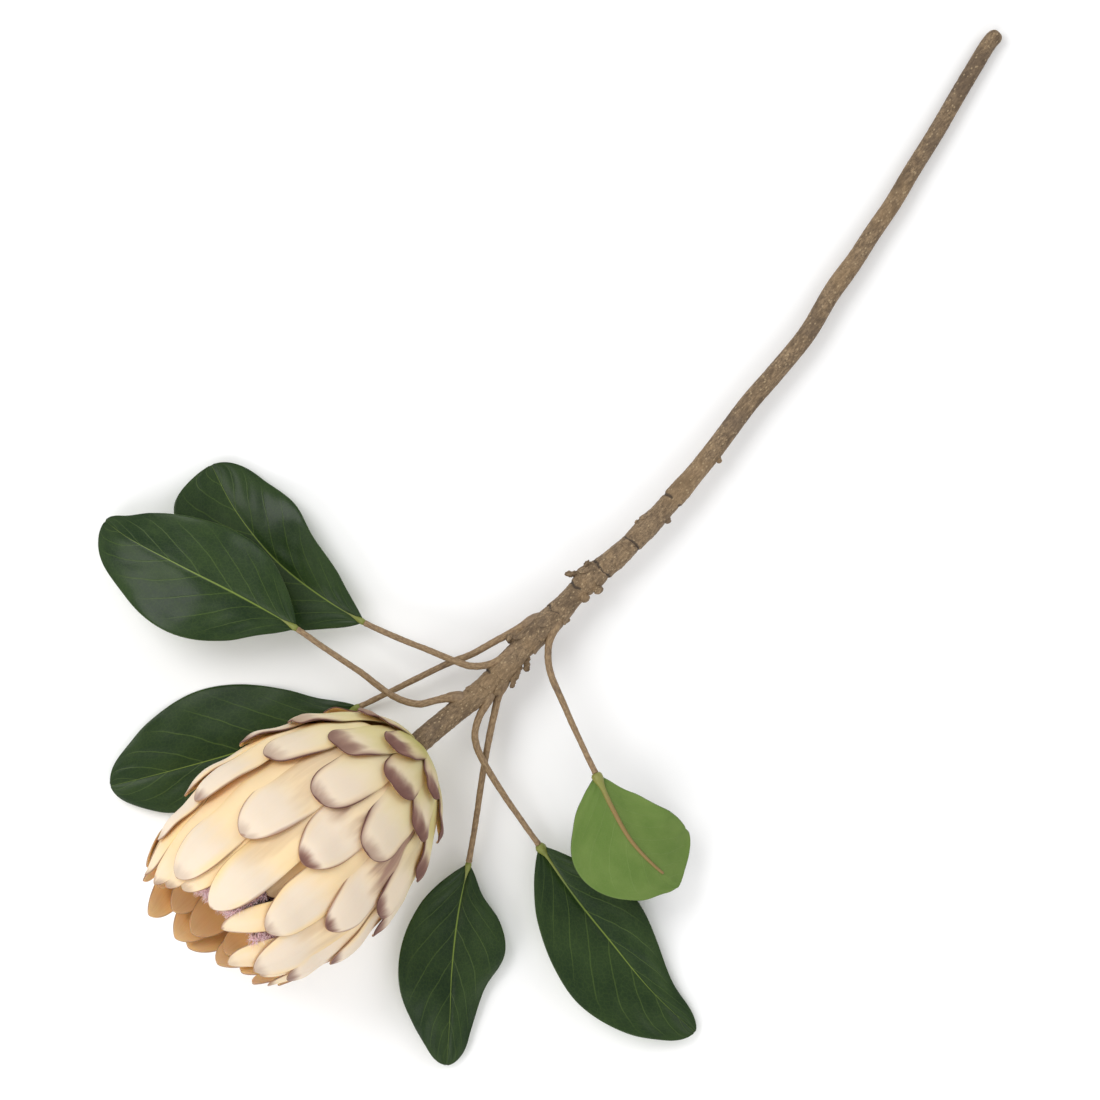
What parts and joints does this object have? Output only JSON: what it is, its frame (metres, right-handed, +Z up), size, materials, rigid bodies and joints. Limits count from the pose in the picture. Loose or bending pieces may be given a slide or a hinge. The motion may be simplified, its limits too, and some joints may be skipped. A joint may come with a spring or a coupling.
{
  "type": "king protea flower",
  "caption": "Cut king protea stem lying on its side: goblet-shaped head of overlapping cream bracts round woolly mauve florets, with a woody stem and stalked, leathery leaves.",
  "frame": {"origin": "middle of the object's extent in X and Y, on the table it lies on", "axes": "+Z up from the table; +Y along the stem, from the flower head to the cut end; the head's mouth looks along -Y, turned a little towards -X and raised a little"},
  "size_m": [0.4509, 0.7027, 0.1417],
  "materials": {
    "bract": "matte",
    "floret": "matte",
    "bark": "matte",
    "leafstalk": "matte",
    "leaf": "satin"
  },
  "bodies": {
    "root": {"bracts": "bract", "florets": "floret", "stem": "bark", "leafstalk_1": "leafstalk", "leafstalk_2": "leafstalk", "leafstalk_3": "leafstalk", "leafstalk_4": "leafstalk", "leafstalk_5": "leafstalk", "leafstalk_6": "leafstalk", "leaf_1": "leaf", "leaf_2": "leaf", "leaf_3": "leaf", "leaf_4": "leaf", "leaf_5": "leaf", "leaf_6": "leaf"}
  },
  "joints": []
}
